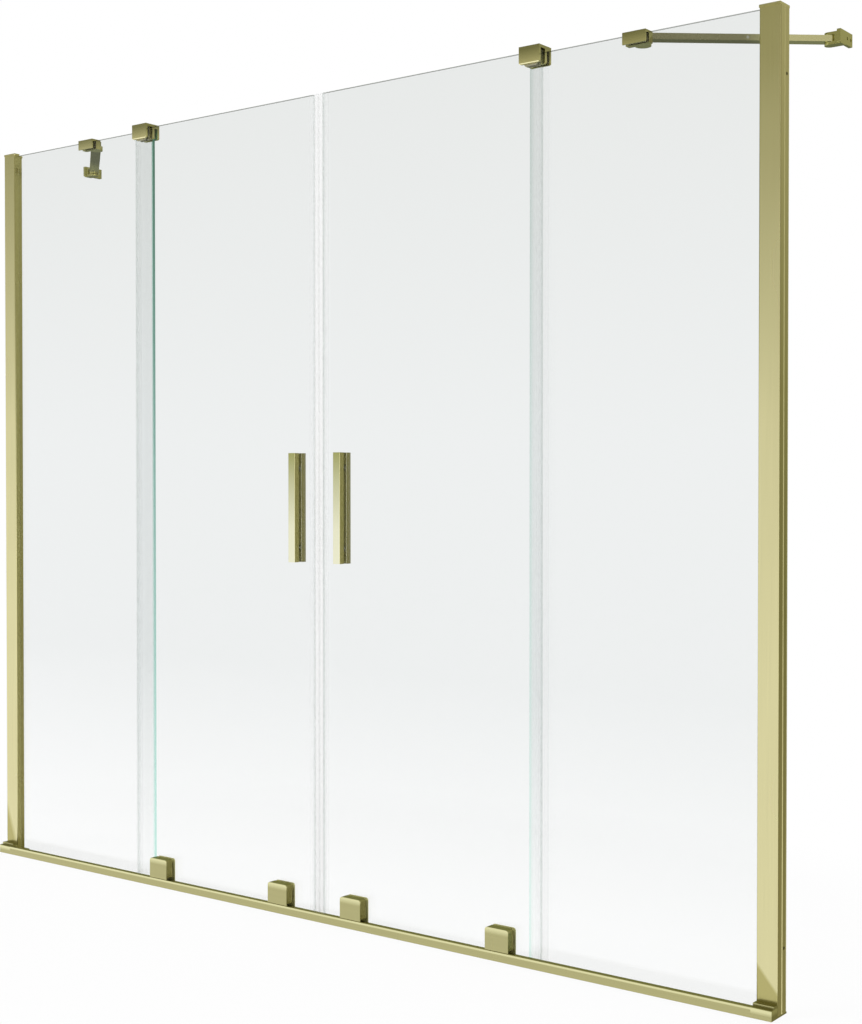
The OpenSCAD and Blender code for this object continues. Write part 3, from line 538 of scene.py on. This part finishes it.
# Panes: the CAD panes again, with a material each for their faces, their top and foot, and their sides
SQUARE_ON = 0.9


def pane_surface(normal):
    """0 for a pane's faces, 1 for its top and foot, 2 for its sides."""
    if abs(normal.y) > SQUARE_ON:
        return 0
    if abs(normal.z) > SQUARE_ON:
        return 1
    return 2


def make_pane(node_name, body, piece_name, face, side_edge):
    mesh = NODES[node_name].data.copy()
    mesh.materials.clear()
    for name in (face, "top glass edge", side_edge):
        mesh.materials.append(MATERIALS[name])
    for polygon in mesh.polygons:
        polygon.material_index = pane_surface(polygon.normal)
    pane = bpy.data.objects.new(piece_name, mesh)
    bpy.context.scene.collection.objects.link(pane)
    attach(pane, body)
    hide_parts(node_name)


def make_panes():
    for side in SIDES:
        make_pane(f"fixed_pane_{side}", "fixed_screen", f"fixed_glass_{side}",
                  f"{side} glass face", "free glass edge")
        make_pane(f"{side}_door_pane", f"{side}_door", f"{side}_door_glass",
                  "glass face", "sealed glass edge")


# Camera, from the photograph: metres, degrees and millimetres
CAMERA_PLACE = (1.91172, -2.18197, 0.78969)
CAMERA_YAW = 37.325
CAMERA_PITCH = 0.888
CAMERA_LENS = 55.873
CAMERA_SHIFT = (0.00093, -0.00131)


def make_camera():
    data = bpy.data.cameras.new("camera")
    data.lens = CAMERA_LENS
    data.shift_x, data.shift_y = CAMERA_SHIFT
    camera = bpy.data.objects.new("camera", data)
    camera.location = CAMERA_PLACE
    camera.rotation_euler = (math.radians(90 - CAMERA_PITCH), 0.0, math.radians(CAMERA_YAW))
    bpy.context.scene.collection.objects.link(camera)
    bpy.context.scene.camera = camera


# Floor: the half widths of the ellipse where it has faded out, the share of them where that begins, and the
# share of the white that it lets through before
FLOOR_SIZE = 14.0
FLOOR_DROP = 0.0005
FLOOR_ROUGHNESS = 0.9
FLOOR_FADE = (1.7, 1.15)
FLOOR_FADE_START = 0.75
FLOOR_CLEAR = 0.92


def make_floor():
    """A pale floor that lets most of the white show, fades out around the part and isn't mirrored."""
    tree = new_material("studio floor")
    shader = principled(tree)
    set_inputs(tree, shader, Base_Color=FLOOR_WHITE, Roughness=FLOOR_ROUGHNESS)
    place = add(tree, "ShaderNodeTexCoord").outputs["Object"]
    shrink = add(tree, "ShaderNodeMapping", Vector=place, Scale=(1 / FLOOR_FADE[0], 1 / FLOOR_FADE[1], 1.0))
    reach = add(tree, "ShaderNodeVectorMath", Vector=shrink.outputs["Vector"])
    reach.operation = "LENGTH"
    faded = ramp(tree, reach.outputs["Value"], FLOOR_CLEAR, 1.0, FLOOR_FADE_START, 1.0)
    mirrored = add(tree, "ShaderNodeLightPath").outputs["Is Glossy Ray"]
    hidden = calculate(tree, "MAXIMUM", faded, mirrored)
    set_surface(tree, mix_surfaces(tree, hidden, shader.outputs["BSDF"], clear_surface(tree, WHITE)))
    bpy.ops.mesh.primitive_plane_add(size=FLOOR_SIZE, location=(0.0, 0.0, -FLOOR_DROP))
    floor = bpy.context.object
    floor.name = "studio_floor"
    floor.data.materials.append(MATERIALS["studio floor"])


# Lamps: each one's place and watts
LAMPS = {"key": ((-2.2, -3.0, 3.2), 90), "fill": ((3.0, 1.5, 3.0), 45)}
LAMP_AIM = (0.0, 0.0, 0.6)
LAMP_SIZE = 2.5


def make_lamp(name, place, watts):
    data = bpy.data.lights.new(name, "AREA")
    data.size = LAMP_SIZE
    data.energy = watts
    lamp = bpy.data.objects.new(name, data)
    lamp.location = place
    lamp.rotation_euler = (Vector(LAMP_AIM) - Vector(place)).to_track_quat("-Z", "Y").to_euler()
    lamp.visible_glossy = False
    bpy.context.scene.collection.objects.link(lamp)


# Reflected room: bright in front near eye height, darker above and behind
ROOM_FRONT = (1.0, 1.0, 1.0)
ROOM_FRONT_ABOVE = (0.30, 0.29, 0.16)
ROOM_LEFT = (1.09, 1.09, 1.12)
ROOM_LEFT_ABOVE = (0.16, 0.16, 0.04)
ROOM_RIGHT = (1.6, 1.6, 1.55)
ROOM_RIGHT_ABOVE = (0.36, 0.35, 0.24)
ROOM_BEHIND_LEFT = (0.19, 0.21, 0.14)
ROOM_BEHIND_LEFT_ABOVE = (0.29, 0.30, 0.12)
ROOM_BEHIND_RIGHT_BELOW = (0.30, 0.285, 0.15)
ROOM_BEHIND_RIGHT = (0.285, 0.28, 0.13)
ROOM_BEHIND_RIGHT_ABOVE = (0.50, 0.49, 0.33)
ROOM_FILL = (0.62, 0.62, 0.62)

# Where one part of the room fades into the next: the axis, and how far a direction points along it at the
# start and end of the fade
ABOVE = ("Z", 0.03, 0.26)
LEVEL = ("Z", -0.15, -0.03)
HORIZON = ("Z", -0.03, 0.03)
BEHIND = ("Y", -0.25, 0.25)
FAR_LEFT_TO_FRONT = ("X", -0.79, -0.72)
LEFT_TO_RIGHT = ("X", -0.25, 0.25)
FRONT_TO_RIGHT = ("X", 0.45, 0.75)


def room_colour(tree):
    """What the part mirrors in each direction."""
    def blend(fade, first, second):
        axis, start, end = fade
        share = ramp(tree, texture_axis(tree, "Generated", axis), 0.0, 1.0, start, end)
        return mix_colours(tree, share, first, second)
    middle = blend(ABOVE, ROOM_FRONT, ROOM_FRONT_ABOVE)
    left = blend(ABOVE, ROOM_LEFT, ROOM_LEFT_ABOVE)
    right = blend(ABOVE, ROOM_RIGHT, ROOM_RIGHT_ABOVE)
    front = blend(FAR_LEFT_TO_FRONT, left, blend(FRONT_TO_RIGHT, middle, right))
    rear_left = blend(HORIZON, ROOM_BEHIND_LEFT, ROOM_BEHIND_LEFT_ABOVE)
    rear_right = blend(LEVEL, ROOM_BEHIND_RIGHT_BELOW, ROOM_BEHIND_RIGHT)
    rear_right = blend(ABOVE, rear_right, ROOM_BEHIND_RIGHT_ABOVE)
    return blend(BEHIND, front, blend(LEFT_TO_RIGHT, rear_left, rear_right))


def make_world():
    """Soft fill light, a room for mirror light alone, and white wherever the camera sees past the part."""
    world = bpy.data.worlds.new("studio")
    bpy.context.scene.world = world
    world.use_nodes = True
    tree = world.node_tree
    path = add(tree, "ShaderNodeLightPath")
    lit = mix_colours(tree, path.outputs["Is Glossy Ray"], ROOM_FILL, room_colour(tree))
    seen = calculate(tree, "MAXIMUM", path.outputs["Is Camera Ray"], path.outputs["Is Transmission Ray"])
    set_inputs(tree, tree.nodes["Background"], Color=mix_colours(tree, seen, lit, WHITE))


# Clear walls that light may pass in one line, enough for where the doors meet
CLEAR_WALLS = 32


def make_studio():
    make_floor()
    for name, (place, watts) in LAMPS.items():
        make_lamp(name, place, watts)
    make_world()
    bpy.context.scene.view_settings.view_transform = "Standard"
    bpy.context.scene.cycles.transparent_max_bounces = CLEAR_WALLS


make_camera()
make_materials()
finish_nodes()
round_all_edges()
make_panes()
make_studio()
